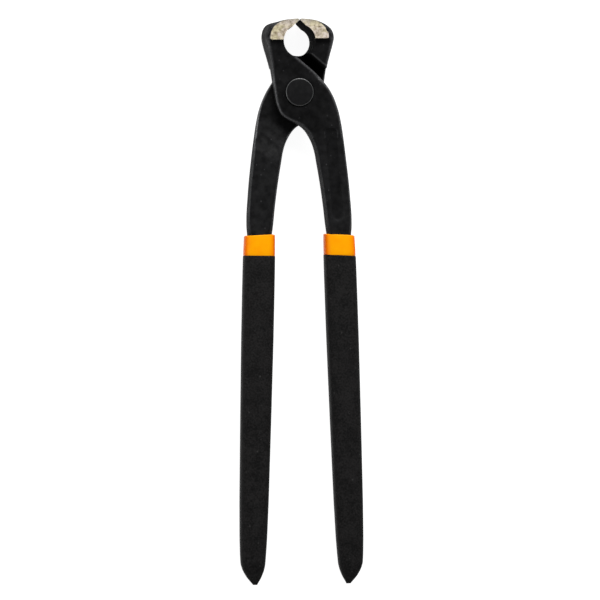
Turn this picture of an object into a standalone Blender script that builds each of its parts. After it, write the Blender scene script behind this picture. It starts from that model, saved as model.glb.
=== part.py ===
"""Tower pincers for tying rebar: two forged levers on one rivet, each handle dipped twice in plastic.

Metres. X runs across the tool, Y from the handles towards the jaws, and Z along the rivet towards the
front face. The origin is on the rivet's axis, at the back of its tail. The tool is closed.
"""

from math import asin, atan2, copysign, cos, pi, radians, sin

import bmesh
import bpy
import numpy
from mathutils import Matrix, Vector

# Jaws
jaw_reach = 0.0323
jaw_half_width = 0.0160
jaw_depth = 0.020
cutting_edge_gap = 0.0003
cutting_edge_land = 0.0004
throat_radius = 0.0068
throat_drop = 0.0094
notch_half_width = 0.0028
facet_height = 0.0094
facet_depth = 0.0010

# Joint
joint_depth = 0.012
lap_radius = 0.017
lap_overlap = 0.0009
lap_gap = 0.0003
lap_ramp = 0.0167
waist_half_width = 0.0116
waist_height = 0.0043
heel_half_width = 0.0086
heel_drop = 0.0091
crotch_drop = 0.0146

# Arms, from the pivot axis down to the top of the handles
arm_drop = 0.0629
arm_half_spread = 0.0236
arm_width = 0.0118
arm_depth = 0.0088
panel_width = 0.0053
panel_depth = 0.0004

# Draft of the forgings: how far a face's rim lies inside the parting line
jaw_draft = 0.0009
plate_draft = 0.0007
arm_draft = 0.0005

# Rounding of the forgings' rims, zone by zone
jaw_rounding = 0.0018
plate_rounding = 0.0009
arm_rounding = 0.0020
tang_rounding = 0.0024

# Handles: tang, first coat in orange and second coat in black
handle_splay = radians(1.6)
grip_length = 0.1547
grip_width = 0.0141
grip_depth = 0.0124
grip_end_wall = 0.0119
grip_tip_lean = 0.0012
tang_length = grip_length - grip_end_wall
tang_top_share = 0.94
tang_end_share = 0.70
coat_gap = 0.0003
band_length = 0.0090
band_wall = 0.0006
sleeve_wall = 0.0005
sleeve_end_wall = 0.0020
dip_rounding = 0.0004

# Rivet
rivet_radius = 0.0045
rivet_head_radius = 0.00615
rivet_head_rise = 0.0010
rivet_tail_radius = 0.0057
rivet_tail_rise = 0.0008
rivet_chamfer = 0.0003
rivet_gap = 0.0003

# Modelling
overrun = 0.005
weld_distance = 0.000001
outline_steps = 4
rounding_steps = 2
circle_steps = 64
section_steps = 28
squareness = 4

# Outlines at the parting line, as shares chosen by hand.
# Jaw's outer edge, cutting edge to widest place: of jaw_half_width and jaw_reach
jaw_top_shares = (
    (0.29, 0.993),
    (0.51, 0.978),
    (0.66, 0.957),
    (0.78, 0.935),
    (0.868, 0.908),
    (0.927, 0.877),
    (0.967, 0.840),
    (0.991, 0.799),
    (1.0, 0.752),
)
# Jaw's side, widest place to waist: of the way in and of the way down
jaw_side_shares = ((0.18, 0.20), (0.44, 0.41), (0.70, 0.61), (0.87, 0.81))
# Plate's lower edge, heel to crotch: of heel_half_width and heel_drop
heel_shares = ((1.0, 1.0), (0.81, 1.2))
# Plate's upper edge, throat to arm, in front: of waist_half_width and the throat's height
front_plate_shares = ((0.125, 0.600), (0.42, 0.463), (0.655, 0.343), (0.95, 0.205))
# The same on the rear plate, which is fuller and hidden there
rear_plate_shares = ((0.50, 0.585), (0.77, 0.41), (0.97, 0.23))
# Where the plate's upper edge leaves the throat, as a share of a turn
front_exit_share = 0.669
rear_exit_share = 0.79
# How far out from the throat's centre that edge starts, of throat_radius
exit_reach_share = 0.93
# Arm's outer edge: of arm_half_spread and arm_drop
arm_outer_shares = (
    (0.611, 0.0),
    (0.717, 0.095),
    (0.784, 0.191),
    (0.844, 0.318),
    (0.912, 0.509),
    (0.967, 0.715),
    (0.997, 0.935),
)
# Arm's inner edge: of its half spread at the handle and of arm_drop
arm_inner_shares = (
    (0.149, 0.254),
    (0.397, 0.318),
    (0.543, 0.382),
    (0.675, 0.509),
    (0.786, 0.636),
    (0.900, 0.795),
    (0.980, 0.935),
)
# Panel's two ends: of arm_half_spread and arm_drop
panel_end_shares = ((0.590, 0.290), (0.715, 0.860))
# Side view above the pivot: of jaw_reach, with of the way from joint to jaw depth
head_profile_shares = ((0.28, 0.0), (0.60, 1.0))
# Side view below the pivot: of arm_drop, with of the way from arm to joint depth
neck_profile_shares = ((0.15, 1.0), (0.22, 0.92), (0.34, 0.50), (0.46, 0.13), (0.56, 0.0))
# Rim rounding at the jaw's top corner, of jaw_reach, and what is left of it at the tip
top_rounding_share = 0.084
tip_rounding_share = 0.3
# Grip's outline, band to tip: of grip_length and grip_width
grip_top_share = 0.97
grip_shares = (
    (0.18, 1.0),
    (0.30, 0.996),
    (0.53, 0.956),
    (0.76, 0.902),
    (0.87, 0.848),
    (0.92, 0.797),
    (0.943, 0.757),
    (0.960, 0.65),
    (0.978, 0.46),
    (0.992, 0.25),
    (1.0, 0.11),
)
# Rounding of a dipped edge: of dip_rounding along the handle and across it
dip_shares = ((0.0, 1.0), (0.3, 0.3), (1.0, 0.0))

half_jaw = jaw_depth / 2
middle = rivet_tail_rise + joint_depth / 2
throat_height = jaw_reach - throat_drop
lap_top = throat_height - throat_radius + lap_overlap
throat_centre = Vector((0, throat_height))
notch_angle = asin(notch_half_width / throat_radius)
handle_top = Vector((arm_half_spread - arm_width / 2, -arm_drop, middle))
tang_drop = arm_drop + tang_length * cos(handle_splay)


def add_object(name, data, group):
    obj = bpy.data.objects.new(name, data)
    group.objects.link(obj)
    return obj


def new_collection(name):
    group = bpy.data.collections.new(name)
    bpy.context.scene.collection.children.link(group)
    return group


def from_bmesh(name, shape, group):
    mesh = bpy.data.meshes.new(name)
    shape.to_mesh(mesh)
    shape.free()
    return add_object(name, mesh, group)


def evaluated_mesh(obj):
    graph = bpy.context.evaluated_depsgraph_get()
    return bpy.data.meshes.new_from_object(obj.evaluated_get(graph))


def hide_as_cutter(obj, owner):
    obj.parent = owner
    obj.hide_render = True
    obj.display_type = "WIRE"


def combine(obj, other, operation):
    modifier = obj.modifiers.new(other.name, "BOOLEAN")
    modifier.operation = operation
    modifier.solver = "EXACT"
    modifier.object = other


# Flat outlines, thickened along Z


def thick_outline(name, points, low, high, group):
    """A closed outline of (x, y, smooth) points, from low to high along Z, as a closed mesh."""
    curve = bpy.data.curves.new(name, "CURVE")
    curve.dimensions = "2D"
    curve.fill_mode = "BOTH"
    curve.resolution_u = outline_steps
    curve.extrude = (high - low) / 2
    spline = curve.splines.new("BEZIER")
    spline.bezier_points.add(len(points) - 1)
    spline.use_cyclic_u = True
    for bezier, (x, y, smooth) in zip(spline.bezier_points, points):
        bezier.co = (x, y, 0)
        bezier.handle_left_type = "AUTO" if smooth else "VECTOR"
        bezier.handle_right_type = bezier.handle_left_type
    guide = add_object(name + "_outline", curve, group)
    guide.location.z = (low + high) / 2
    bpy.context.view_layer.update()
    shape = bmesh.new()
    shape.from_mesh(evaluated_mesh(guide))
    shape.transform(guide.matrix_world)
    bmesh.ops.remove_doubles(shape, verts=shape.verts, dist=weld_distance)
    bmesh.ops.dissolve_limit(shape, angle_limit=radians(0.1), verts=shape.verts, edges=shape.edges)
    bmesh.ops.recalc_face_normals(shape, faces=shape.faces)
    bpy.data.objects.remove(guide)
    return from_bmesh(name, shape, group)


def round_cutter(name, radius, low, high, owner, group):
    shape = bmesh.new()
    bmesh.ops.create_cone(
        shape,
        cap_ends=True,
        segments=circle_steps,
        radius1=radius,
        radius2=radius,
        depth=high - low,
        matrix=Matrix.Translation((0, 0, (low + high) / 2)),
    )
    cutter = from_bmesh(name, shape, group)
    hide_as_cutter(cutter, owner)
    return cutter


# Levers


def arc(centre, radius, start, end, steps):
    """Points from one angle to another, as corners of a fine outline."""
    angles = [start + (end - start) * step / steps for step in range(steps + 1)]
    return [(centre.x + radius * cos(a), centre.y + radius * sin(a), False) for a in angles]


def tang_corner(along, side):
    """A corner of the tang in the lever's outline, along the handle and to its inner or outer side."""
    half_width = tang_width(along) / 2
    across = Vector((cos(handle_splay), sin(handle_splay))) * half_width * side
    down = Vector((sin(handle_splay), -cos(handle_splay))) * along
    return (*(handle_top.xy + down + across), False)


def tang_share(along):
    """Size of the tang's section, of the arm's."""
    return tang_top_share + (tang_end_share - tang_top_share) * min(along / tang_length, 1)


def tang_width(along):
    return arm_width * tang_share(along)


def tang_depth(along):
    return arm_depth * tang_share(along)


def lever_outline(plate_shares, exit_share):
    """Front view of a lever with its jaw on the left and its arm on the right."""
    inner = -cutting_edge_gap / 2
    widest = jaw_reach * jaw_top_shares[-1][1]
    arm_inner = arm_half_spread - arm_width
    exit_angle = 2 * pi * exit_share
    exit_reach = throat_radius * exit_reach_share
    exit_point = throat_centre + exit_reach * Vector((cos(exit_angle), sin(exit_angle)))

    points = [(inner, throat_height, False), (inner, jaw_reach, False)]
    points += [(-jaw_half_width * x, jaw_reach * y, True) for x, y in jaw_top_shares]
    for inward, down in jaw_side_shares:
        x = jaw_half_width + (waist_half_width - jaw_half_width) * inward
        y = widest + (waist_height - widest) * down
        points.append((-x, y, True))
    points.append((-waist_half_width, waist_height, True))
    points += [(-heel_half_width * x, -heel_drop * y, True) for x, y in heel_shares]
    points.append((0, -crotch_drop, True))
    points += [(arm_inner * x, -arm_drop * y, True) for x, y in arm_inner_shares]
    points += [tang_corner(0, -1), tang_corner(tang_length, -1)]
    points += [tang_corner(tang_length, 1), tang_corner(0, 1)]
    points += [(arm_half_spread * x, -arm_drop * y, True) for x, y in reversed(arm_outer_shares)]
    points += [(waist_half_width * x, throat_height * y, True) for x, y in reversed(plate_shares)]
    points.append((exit_point.x, exit_point.y, False))
    return points


def face_draft(x, y):
    """How far the rim of a front or back face lies inside the parting line at this place."""
    plate = plate_draft * min(max(x / heel_half_width, 0), 1)
    heights = (-2 * crotch_drop, -heel_drop, waist_height, lap_top)
    amount = numpy.interp(y, heights, (arm_draft, plate, plate, jaw_draft))
    if y > throat_height:
        amount *= min(abs(x) / jaw_half_width, 1)
    return amount


def rim_rounding(x, y):
    """How far the rim of a front or back face is rounded at this place."""
    stations = (
        (-arm_drop, tang_rounding),
        (band_length - arm_drop, arm_rounding),
        (-2 * crotch_drop, arm_rounding),
        (-heel_drop, plate_rounding),
        (waist_height, plate_rounding),
        (lap_top, jaw_rounding),
        (throat_height, jaw_reach * top_rounding_share),
    )
    amount = numpy.interp(y, *zip(*stations))
    if y > throat_height:
        amount *= tip_rounding_share + (1 - tip_rounding_share) * min(abs(x) / jaw_half_width, 1)
    return amount


def split_across(shape, place, normal):
    geometry = [*shape.verts, *shape.edges, *shape.faces]
    bmesh.ops.bisect_plane(shape, geom=geometry, dist=weld_distance, plane_co=place, plane_no=normal)


def is_shaped_wall(face):
    """Whether a face is a wall of the outline that the throat doesn't cut away."""
    from_throat = (face.calc_center_median().xy - throat_centre).length
    return abs(face.normal.z) < 0.5 and from_throat > throat_radius * exit_reach_share


def draw_in_walls(shape):
    """Splits the walls into loops and draws them in from the parting line to drafted, rounded rims.

    What the throat cuts away stays square.
    """
    loops = rounding_steps + 1
    for loop in range(1 - loops, loops):
        split_across(shape, (0, 0, middle + half_jaw * loop / loops), (0, 0, 1))
    moves = []
    for vert in shape.verts:
        x, y, z = vert.co
        loop = round(abs(z - middle) / half_jaw * loops)
        if loop == 0:
            continue
        rounding = rim_rounding(x, y)
        turn = pi / 2 * (loop - 1) / rounding_steps
        height = half_jaw - rounding * (1 - sin(turn))
        inset = face_draft(x, y) * height / half_jaw + rounding * (1 - cos(turn))
        walls = [face.normal for face in vert.link_faces if is_shaped_wall(face)]
        place = vert.co.copy()
        if walls:
            outwards = sum(walls, Vector()) / len(walls)
            place -= outwards * inset / outwards.length_squared
        place.z = middle + copysign(height, z - middle)
        moves.append((vert, place))
    for vert, place in moves:
        vert.co = place


def half_depth_stations():
    """Heights, lowest first, and half the depth of the forging at each."""
    joint = joint_depth / 2
    arm = arm_depth / 2
    stations = [(-tang_drop, tang_depth(tang_length) / 2), (-arm_drop, tang_depth(0) / 2)]
    stations += [(-arm_drop * y, arm + (joint - arm) * deeper) for y, deeper in reversed(neck_profile_shares)]
    stations += [(jaw_reach * y, joint + (half_jaw - joint) * deeper) for y, deeper in head_profile_shares]
    return stations


def taper_depth(shape, inset):
    """Draws both faces of a slab of full jaw depth in to the side view of the forging, less inset."""
    heights, halves = zip(*half_depth_stations())
    for height in heights:
        split_across(shape, (0, height, 0), (0, 1, 0))
    for vert in shape.verts:
        x, y, z = vert.co
        wall = half_jaw - rim_rounding(x, y)
        drawn_in = half_jaw - numpy.interp(y, heights, halves) + inset
        drawn_in *= min(abs(z - middle) / wall, 1)
        vert.co.z -= copysign(drawn_in, z - middle)


def lap_cutter(lever, group):
    """Half the joint's depth, upright where it meets the throat and sloping out to the arm."""
    low = middle - half_jaw - overrun
    high = middle + lap_gap / 2
    ramp = lap_ramp * (high - low) / half_jaw
    shape = bmesh.new()
    bmesh.ops.create_cone(
        shape,
        cap_ends=True,
        segments=circle_steps,
        radius1=lap_radius + ramp,
        radius2=lap_radius,
        depth=high - low,
        matrix=Matrix.Translation((0, 0, (low + high) / 2)),
    )
    for vert in shape.verts:
        if vert.co.z < middle:
            vert.co.y -= ramp
        if vert.co.y > 0:
            vert.co.y *= lap_top / lap_radius
    cutter = from_bmesh(lever.name + "_lap_cutter", shape, group)
    hide_as_cutter(cutter, lever)
    return cutter


def throat_cutter(lever, group):
    """A round hole with a notch that rises to the cutting edges."""
    outline = arc(throat_centre, throat_radius, pi / 2 - notch_angle, notch_angle - 3 * pi / 2, circle_steps)
    outline.append((0, jaw_reach - cutting_edge_land, False))
    reach = half_jaw + overrun
    cutter = thick_outline(lever.name + "_throat_cutter", outline, middle - reach, middle + reach, group)
    hide_as_cutter(cutter, lever)
    return cutter


def facet_cutter(lever, side, group):
    """The ground facet by the cutting edge, on the front for side 1 and on the back for side -1."""
    slope = atan2(facet_depth, facet_height)
    start = Vector((0, jaw_reach - facet_height, middle + side * half_jaw))
    size = (4 * jaw_half_width, 4 * facet_height, overrun)
    shape = bmesh.new()
    place = Matrix.Translation(start) @ Matrix.Rotation(-side * slope, 4, "X")
    lift = Matrix.Translation((0, 0, side * overrun / 2))
    bmesh.ops.create_cube(shape, size=1, matrix=place @ lift @ Matrix.Diagonal((*size, 1)))
    cutter = from_bmesh(f"{lever.name}_facet_cutter_{'front' if side > 0 else 'back'}", shape, group)
    hide_as_cutter(cutter, lever)
    return cutter


def panel_cutter(lever, group):
    """A shallow sunk panel with round ends that follows the arm's face."""
    upper, lower = (Vector((arm_half_spread * x, -arm_drop * y)) for x, y in panel_end_shares)
    run = lower - upper
    square = atan2(run.x, -run.y)
    outline = arc(upper, panel_width / 2, square, square + pi, circle_steps // 4)
    outline += arc(lower, panel_width / 2, square + pi, square + 2 * pi, circle_steps // 4)
    cutter = thick_outline(lever.name + "_panel_cutter", outline, middle, middle + half_jaw, group)
    hide_as_cutter(cutter, lever)
    shape = bmesh.new()
    size = (4 * arm_half_spread, 2 * arm_drop, jaw_depth)
    place = Matrix.Translation((0, -arm_drop, middle))
    bmesh.ops.create_cube(shape, size=1, matrix=place @ Matrix.Diagonal((*size, 1)))
    taper_depth(shape, panel_depth)
    floor = from_bmesh(lever.name + "_panel_floor", shape, group)
    hide_as_cutter(floor, lever)
    combine(cutter, floor, "DIFFERENCE")
    return cutter


def forging(name, plate_shares, exit_share, seat_radius, parts, cutters):
    """One lever, with its jaw on the left and its arm on the right, seen from the front."""
    outline = lever_outline(plate_shares, exit_share)
    lever = thick_outline(name, outline, middle - half_jaw, middle + half_jaw, parts)
    shape = bmesh.new()
    shape.from_mesh(lever.data)
    draw_in_walls(shape)
    taper_depth(shape, 0)
    bmesh.ops.triangulate(shape, faces=shape.faces)
    shape.to_mesh(lever.data)
    shape.free()

    face = middle + joint_depth / 2
    reach = half_jaw + overrun
    combine(lever, lap_cutter(lever, cutters), "DIFFERENCE")
    combine(lever, throat_cutter(lever, cutters), "DIFFERENCE")
    combine(lever, facet_cutter(lever, 1, cutters), "DIFFERENCE")
    combine(lever, facet_cutter(lever, -1, cutters), "DIFFERENCE")
    combine(lever, panel_cutter(lever, cutters), "DIFFERENCE")
    bore_cutter = round_cutter(
        name + "_bore_cutter", rivet_radius + rivet_gap, middle - reach, middle + reach, lever, cutters
    )
    combine(lever, bore_cutter, "DIFFERENCE")
    seat_cutter = round_cutter(
        name + "_seat_cutter", seat_radius + rivet_gap, face - rivet_gap, face + overrun, lever, cutters
    )
    combine(lever, seat_cutter, "DIFFERENCE")
    return lever


# Rivet


def make_rivet(parts):
    """A turned rivet: round head in front, shank through both plates, and a flat tail behind."""
    head = middle + joint_depth / 2
    tail = middle - joint_depth / 2
    profile = (
        (0, head + rivet_head_rise),
        (rivet_head_radius - rivet_chamfer, head + rivet_head_rise),
        (rivet_head_radius, head + rivet_head_rise - rivet_chamfer),
        (rivet_head_radius, head),
        (rivet_radius, head),
        (rivet_radius, tail),
        (rivet_tail_radius, tail),
        (rivet_tail_radius, rivet_chamfer),
        (rivet_tail_radius - rivet_chamfer, 0),
        (0, 0),
    )
    mesh = bpy.data.meshes.new("pivot_rivet")
    edges = [(step, step + 1) for step in range(len(profile) - 1)]
    mesh.from_pydata([(x, 0, z) for x, z in profile], edges, [])
    rivet = add_object("pivot_rivet", mesh, parts)
    turn = rivet.modifiers.new("turn", "SCREW")
    turn.steps = circle_steps
    turn.render_steps = circle_steps
    turn.use_merge_vertices = True
    turn.merge_threshold = weld_distance
    return rivet


# Dipped handles


def section(width, depth):
    """A rounded rectangle round the handle's axis."""
    ring = []
    for step in range(section_steps):
        angle = 2 * pi * (step + 0.5) / section_steps
        across = copysign(abs(cos(angle)) ** (2 / squareness), cos(angle)) * width / 2
        above = copysign(abs(sin(angle)) ** (2 / squareness), sin(angle)) * depth / 2
        ring.append((across, above))
    return ring


def tip_lean(along):
    """How far the blunt point of a grip leans in towards the other grip."""
    start = grip_length - grip_end_wall + coat_gap
    share = max(along - start, 0) / (grip_length - start)
    return grip_tip_lean * share**2


def make_coat(name, stations, lever, parts):
    """A closed skin lofted through (along, width, depth) stations, up the inside and down the outside."""
    shape = bmesh.new()
    rings = []
    for along, width, depth in stations:
        rings.append([shape.verts.new((x - tip_lean(along), -along, z)) for x, z in section(width, depth)])
    for ring, other in zip(rings, rings[1:]):
        for step in range(section_steps):
            after = (step + 1) % section_steps
            shape.faces.new((ring[step], ring[after], other[after], other[step]))
    shape.faces.new(rings[0])
    shape.faces.new(rings[-1])
    bmesh.ops.recalc_face_normals(shape, faces=shape.faces)
    coat = from_bmesh(name, shape, parts)
    coat.location = handle_top
    coat.rotation_euler.z = handle_splay
    coat.parent = lever
    return coat


def around_tang(along, wall):
    """A station that clears the tang by wall all round."""
    return (along, tang_width(along) + 2 * wall, tang_depth(along) + 2 * wall)


def dipped_edge(start, width, depth):
    """Stations of a rounded lip that begins at start."""
    return [
        (start + dip_rounding * down, width - 2 * dip_rounding * inward, depth - 2 * dip_rounding * inward)
        for down, inward in dip_shares
    ]


def make_sleeve(name, lever, parts):
    """First coat: thick where it shows as a band, thin where the second coat covers it."""
    bottom = tang_length + coat_gap
    hidden = coat_gap + sleeve_wall
    shown = 2 * (coat_gap + band_wall)
    width = arm_width + shown
    depth = arm_depth + shown
    stations = [around_tang(bottom, coat_gap), around_tang(0, coat_gap)]
    stations += dipped_edge(0, width, depth)
    stations.append((band_length, width, depth))
    stations += [around_tang(band_length, hidden), around_tang(bottom + sleeve_end_wall, hidden)]
    return make_coat(name, stations, lever, parts)


def make_grip(name, lever, parts):
    """Second coat: over the sleeve, closed at a blunt point."""
    top = band_length + coat_gap
    bottom = tang_length + 2 * coat_gap + sleeve_end_wall
    clearance = 2 * coat_gap + sleeve_wall
    stations = [around_tang(bottom, clearance), around_tang(tang_length, clearance)]
    stations.append(around_tang(top, clearance))
    stations += dipped_edge(top, grip_width * grip_top_share, grip_depth * grip_top_share)
    stations += [(grip_length * along, grip_width * wide, grip_depth * wide) for along, wide in grip_shares]
    return make_coat(name, stations, lever, parts)


# Finish


def new_material(name, colour, roughness, metallic):
    material = bpy.data.materials.new(name)
    material.use_nodes = True
    surface = material.node_tree.nodes["Principled BSDF"]
    surface.inputs["Base Color"].default_value = (*colour, 1)
    surface.inputs["Roughness"].default_value = roughness
    surface.inputs["Metallic"].default_value = metallic
    return material


def finish(obj, material):
    obj.data.materials.clear()
    obj.data.materials.append(material)
    obj.data.shade_smooth()
    obj.data.set_sharp_from_angle(angle=radians(30))


def main():
    for old in list(bpy.data.objects):
        bpy.data.objects.remove(old)
    parts = new_collection("rebar_tying_pliers")
    cutters = new_collection("cutters")

    forged_black = ((0.012, 0.012, 0.013), 0.5, 0.6)
    orange_plastic = ((0.95, 0.34, 0.0), 0.35, 0.0)
    black_plastic = ((0.011, 0.011, 0.012), 0.7, 0.0)

    front = forging("front_lever", front_plate_shares, front_exit_share, rivet_head_radius, parts, cutters)
    rear = forging("rear_lever", rear_plate_shares, rear_exit_share, rivet_tail_radius, parts, cutters)
    rear.rotation_euler.y = pi
    rear.location.z = 2 * middle
    rivet = make_rivet(parts)
    for obj in (front, rear, rivet):
        finish(obj, new_material(obj.name + "_finish", *forged_black))

    for side, lever in (("right", front), ("left", rear)):
        sleeve = make_sleeve(side + "_orange_sleeve", lever, parts)
        grip = make_grip(side + "_black_grip", lever, parts)
        finish(sleeve, new_material(sleeve.name + "_finish", *orange_plastic))
        finish(grip, new_material(grip.name + "_finish", *black_plastic))


main()
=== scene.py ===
# %% [markdown]
# # Tower pincers for tying rebar
# The tool is two black forgings that cross at one rivet. Short jaws close round a throat, where
# the loops of tie wire gather before they are twisted and cut. Each handle is dipped twice in
# liquid plastic, first orange and then black, so an orange band is left above each black grip.
#
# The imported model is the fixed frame: it gives the true size, the moving bodies and the joint.
# This file adds what a photograph shows: soft forged edges, bare ground steel, paint and plastic.

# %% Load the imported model
from math import asin, atan2, copysign, cos, pi, radians, sin

import bmesh
import bpy
import numpy
from mathutils import Matrix, Vector


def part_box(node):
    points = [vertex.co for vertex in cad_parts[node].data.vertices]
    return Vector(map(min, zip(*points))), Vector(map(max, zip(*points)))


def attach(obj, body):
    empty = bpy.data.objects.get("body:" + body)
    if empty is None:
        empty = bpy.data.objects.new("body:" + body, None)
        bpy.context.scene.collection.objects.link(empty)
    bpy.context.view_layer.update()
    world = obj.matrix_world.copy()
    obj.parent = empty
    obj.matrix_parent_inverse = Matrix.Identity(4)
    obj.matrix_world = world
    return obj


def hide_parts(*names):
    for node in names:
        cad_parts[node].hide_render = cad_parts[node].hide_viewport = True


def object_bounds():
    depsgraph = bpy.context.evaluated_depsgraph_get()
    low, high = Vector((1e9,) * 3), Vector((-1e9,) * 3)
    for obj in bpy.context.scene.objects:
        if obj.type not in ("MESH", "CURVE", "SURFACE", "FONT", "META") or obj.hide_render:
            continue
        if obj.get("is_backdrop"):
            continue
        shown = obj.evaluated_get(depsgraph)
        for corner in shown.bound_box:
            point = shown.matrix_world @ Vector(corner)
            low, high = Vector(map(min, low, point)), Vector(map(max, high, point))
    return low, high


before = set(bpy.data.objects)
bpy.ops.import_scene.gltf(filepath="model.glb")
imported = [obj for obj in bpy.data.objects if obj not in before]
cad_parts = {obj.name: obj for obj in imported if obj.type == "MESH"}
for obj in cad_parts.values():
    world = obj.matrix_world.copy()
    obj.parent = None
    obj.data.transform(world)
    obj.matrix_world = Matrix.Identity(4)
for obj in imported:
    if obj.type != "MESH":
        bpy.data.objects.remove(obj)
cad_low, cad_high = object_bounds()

print("size in mm:", [round(1000 * side, 1) for side in cad_high - cad_low])

# %% [markdown]
# ## Sizes
# The forgings are built again here with finer steps, so most sizes repeat those of the packed
# model. The rims and the draft are a little tighter than there, as the photograph shows them.
# Everything is in metres. X runs across the tool, Y towards the jaws and Z along the rivet.

# %% Sizes of the forgings
jaw_reach = 0.0323
jaw_half_width = 0.0160
jaw_depth = 0.020
cutting_edge_gap = 0.0003
cutting_edge_land = 0.0004
throat_radius = 0.0068
throat_height = jaw_reach - 0.0094
throat_centre = Vector((0, throat_height))
notch_angle = asin(0.0028 / throat_radius)
facet_height = 0.0094
facet_depth = 0.0010

joint_depth = 0.012
lap_radius = 0.017
lap_gap = 0.0003
lap_ramp = 0.0167
waist_half_width = 0.0116
waist_height = 0.0043
heel_half_width = 0.0086
heel_drop = 0.0091
crotch_drop = 0.0146

arm_drop = 0.0629
arm_half_spread = 0.0236
arm_width = 0.0118
arm_depth = 0.0088
panel_width = 0.0053
panel_depth = 0.0004

jaw_draft = 0.0009
plate_draft = 0.0003
arm_draft = 0.0005
jaw_top_rounding = 0.0027
jaw_rounding = 0.0011
plate_rounding = 0.0006
arm_rounding = 0.0014
tang_rounding = 0.0024

print("a jaw is", 1000 * jaw_depth, "mm deep and the joint", 1000 * joint_depth, "mm")

# %% Sizes of the handles and the rivet
handle_splay = radians(1.6)
grip_length = 0.1547
grip_width = 0.0141
grip_depth = 0.0124
grip_end_wall = 0.0119
grip_tip_lean = 0.0012
tang_length = grip_length - grip_end_wall
tang_top_share = 0.94
tang_end_share = 0.70
coat_gap = 0.0003
band_length = 0.0090
band_wall = 0.0006
sleeve_wall = 0.0005
sleeve_end_wall = 0.0020

rivet_radius = 0.0045
rivet_head_radius = 0.00615
rivet_head_rise = 0.0010
rivet_tail_radius = 0.0057
rivet_tail_rise = 0.0008
rivet_gap = 0.0003

half_jaw = jaw_depth / 2
middle = rivet_tail_rise + joint_depth / 2
handle_top = Vector((arm_half_spread - arm_width / 2, -arm_drop, middle))
tang_drop = arm_drop + tang_length * cos(handle_splay)
print("the parting line of both forgings lies at z =", round(1000 * middle, 1), "mm")

# %% [markdown]
# ## Outlines
# A forging starts as a flat outline. Each list below gives points as shares of the sizes above,
# so a point can be read as "95% of the jaw's half width, 88% of its reach". Blender's curves
# join such points smoothly when their handles are automatic, and sharply when they are vectors.

# %% Outline shares
jaw_top_shares = (
    (0.29, 0.993), (0.51, 0.978), (0.66, 0.957), (0.78, 0.935), (0.868, 0.908),
    (0.927, 0.877), (0.967, 0.840), (0.991, 0.799), (1.0, 0.752),
)
jaw_side_shares = ((0.18, 0.20), (0.44, 0.41), (0.70, 0.61), (0.87, 0.81))
heel_shares = ((1.0, 1.0), (0.81, 1.2))
front_plate_shares = ((0.22, 0.578), (0.515, 0.452), (0.74, 0.344), (0.95, 0.215))
rear_plate_shares = ((0.50, 0.585), (0.77, 0.41), (0.97, 0.23))
front_exit_share = 0.71
rear_exit_share = 0.79
exit_reach_share = 0.93
arm_outer_shares = (
    (0.611, 0.0), (0.717, 0.095), (0.784, 0.191), (0.844, 0.318),
    (0.912, 0.509), (0.967, 0.715), (0.997, 0.935),
)
arm_inner_shares = (
    (0.149, 0.254), (0.397, 0.318), (0.543, 0.382), (0.675, 0.509),
    (0.786, 0.636), (0.900, 0.795), (0.980, 0.935),
)
panel_end_shares = ((0.590, 0.290), (0.715, 0.860))
head_profile_shares = ((0.28, 0.0), (0.60, 1.0))
neck_profile_shares = ((0.15, 1.0), (0.22, 0.92), (0.34, 0.50), (0.46, 0.13), (0.56, 0.0))
tip_rounding_share = 0.3
print("outline points:", len(jaw_top_shares) + len(arm_outer_shares) + len(arm_inner_shares))

# %% [markdown]
# ## Colour and node helpers
# Colours are written the way a colour picker shows them, as sRGB hex. Blender's shaders work
# with linear light, so one function turns the hex value into linear numbers. Another one adds a
# node and gives back its result, ready to be linked to the next node. Map Range is the node that
# is used most: it carries a value from one span to another, so its inputs are named here once.

# %% Helpers for colours and nodes
def linear(hex_colour):
    """An sRGB hex colour as linear red, green, blue and alpha."""
    shares = [int(hex_colour[place : place + 2], 16) / 255 for place in (1, 3, 5)]
    return (*(s / 12.92 if s <= 0.04045 else ((s + 0.055) / 1.055) ** 2.4 for s in shares), 1)


def fill(node, inputs):
    """Fills a node's inputs by name or number. The output of another node is linked."""
    for key, value in inputs.items():
        if isinstance(value, bpy.types.NodeSocket):
            node.id_data.links.new(value, node.inputs[key])
        else:
            node.inputs[key].default_value = value


def add_node(tree, kind, inputs=(), output=None, **settings):
    """Adds a node with its settings and inputs. Returns the named output, or the first in use."""
    node = tree.nodes.new(kind)
    for key, value in settings.items():
        setattr(node, key, value)
    fill(node, dict(inputs))
    return node.outputs[output] if output else next((out for out in node.outputs if out.enabled), None)


span_inputs = ("Value", "From Min", "From Max", "To Min", "To Max")
print("the orange as linear numbers:", [round(c, 3) for c in linear("#ffa600")])

# %% [markdown]
# ## Black forging finish
# The levers are drop forged carbon steel with a thin satin black finish. The paint follows the
# skin of the forging, so the eye sees a faintly mottled sheen, a fine grain and a few small chips.
# Its edges are lighter: rubbed paint, and partly a painted highlight. Painted shade darkens the
# lap, the shoulder beside it, a strip under the facets, the joint, the panel and the jaws' walls,
# and takes away their sheen. The mottling is about 3 mm across and the grain about half a
# millimetre. Object coordinates are in metres, so a pattern of 3 mm has a scale of 1 / 0.003.

# %% Finish of the forgings
def new_finish(name, colour, roughness, metallic=0.0, specular=0.5):
    """A material with its even values on the shader's own sockets, and its Object coordinates."""
    material = bpy.data.materials.new(name)
    material.use_nodes = True
    surface = material.node_tree.nodes["Principled BSDF"]
    surface.inputs["Base Color"].default_value = linear(colour)
    surface.inputs["Roughness"].default_value = roughness
    surface.inputs["Metallic"].default_value = metallic
    surface.inputs["Specular IOR Level"].default_value = specular
    place = add_node(material.node_tree, "ShaderNodeTexCoord", output="Object")
    return material, material.node_tree, surface, place


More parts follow.
